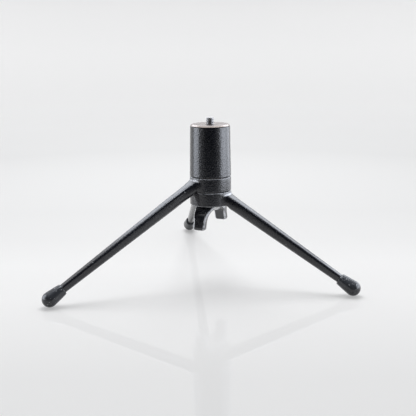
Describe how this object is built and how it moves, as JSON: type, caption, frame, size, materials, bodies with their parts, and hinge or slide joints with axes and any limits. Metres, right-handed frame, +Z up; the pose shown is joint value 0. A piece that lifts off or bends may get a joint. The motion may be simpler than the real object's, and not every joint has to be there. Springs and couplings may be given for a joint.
{
  "type": "table-top camera tripod",
  "caption": "Folding all-metal table-top camera tripod: black cast hub with a fixed and two swinging legs, rubber feet, silver camera seat with screw, and a clamping wing nut below.",
  "frame": {"origin": "on the floor under the middle of the tripod's box, with the legs spread as drawn", "axes": "+Z up along the hub axis, +Y along the fixed rear leg, +X to the side of the lower collar's leg"},
  "size_m": [0.2456, 0.2422, 0.1346],
  "materials": {
    "black_enamel": "gloss",
    "seat_aluminium": "satin",
    "bright_steel": "satin",
    "bush_brass": "satin",
    "disc_fibre": "matte",
    "foot_rubber": "satin"
  },
  "bodies": {
    "column": {"column_casting": "black_enamel", "rear_foot": "foot_rubber", "top_plate": "seat_aluminium", "camera_screw": "bright_steel", "screw_retainer": "bright_steel", "tension_rod": "bright_steel", "rod_key_pin": "bright_steel", "rod_washer": "bright_steel", "rod_nut": "bright_steel", "nut_stop_screw": "bright_steel", "upper_friction_disc": "disc_fibre"},
    "upper_leg": {"upper_leg_casting": "black_enamel", "upper_leg_foot": "foot_rubber", "upper_collar_bush": "bush_brass", "lower_friction_disc": "disc_fibre"},
    "lower_leg": {"lower_leg_casting": "black_enamel", "lower_leg_foot": "foot_rubber", "lower_collar_bush": "bush_brass"},
    "clamp_washers": {"thrust_washer": "bright_steel", "spring_washer": "bright_steel"},
    "wing_nut": {"wing_nut": "black_enamel", "wing_nut_insert": "bright_steel"}
  },
  "joints": [
    {"name": "upper_leg_swing", "type": "hinge", "parent": "column", "child": "upper_leg", "pos_m": [0.01444, -0.04815, 0.0812], "axis": [0, 0, 1], "range_deg": [-113.2, 50]},
    {"name": "lower_leg_swing", "type": "hinge", "parent": "column", "child": "lower_leg", "pos_m": [0.01444, -0.04815, 0.0694], "axis": [0, 0, -1], "range_deg": [-123.2, 50]},
    {"name": "clamp_travel", "type": "slide", "parent": "column", "child": "clamp_washers", "axis": [0, 0, -1], "range_m": [0, 0.0019]},
    {"name": "wing_nut_turn", "type": "hinge", "parent": "clamp_washers", "child": "wing_nut", "pos_m": [0.01444, -0.04815, 0.06], "axis": [0, 0, -1], "range_deg": [0, 540]}
  ],
  "couplings": [
    {"joint": "clamp_travel", "follows": "wing_nut_turn", "m_per_rad": 0.00019894}
  ]
}
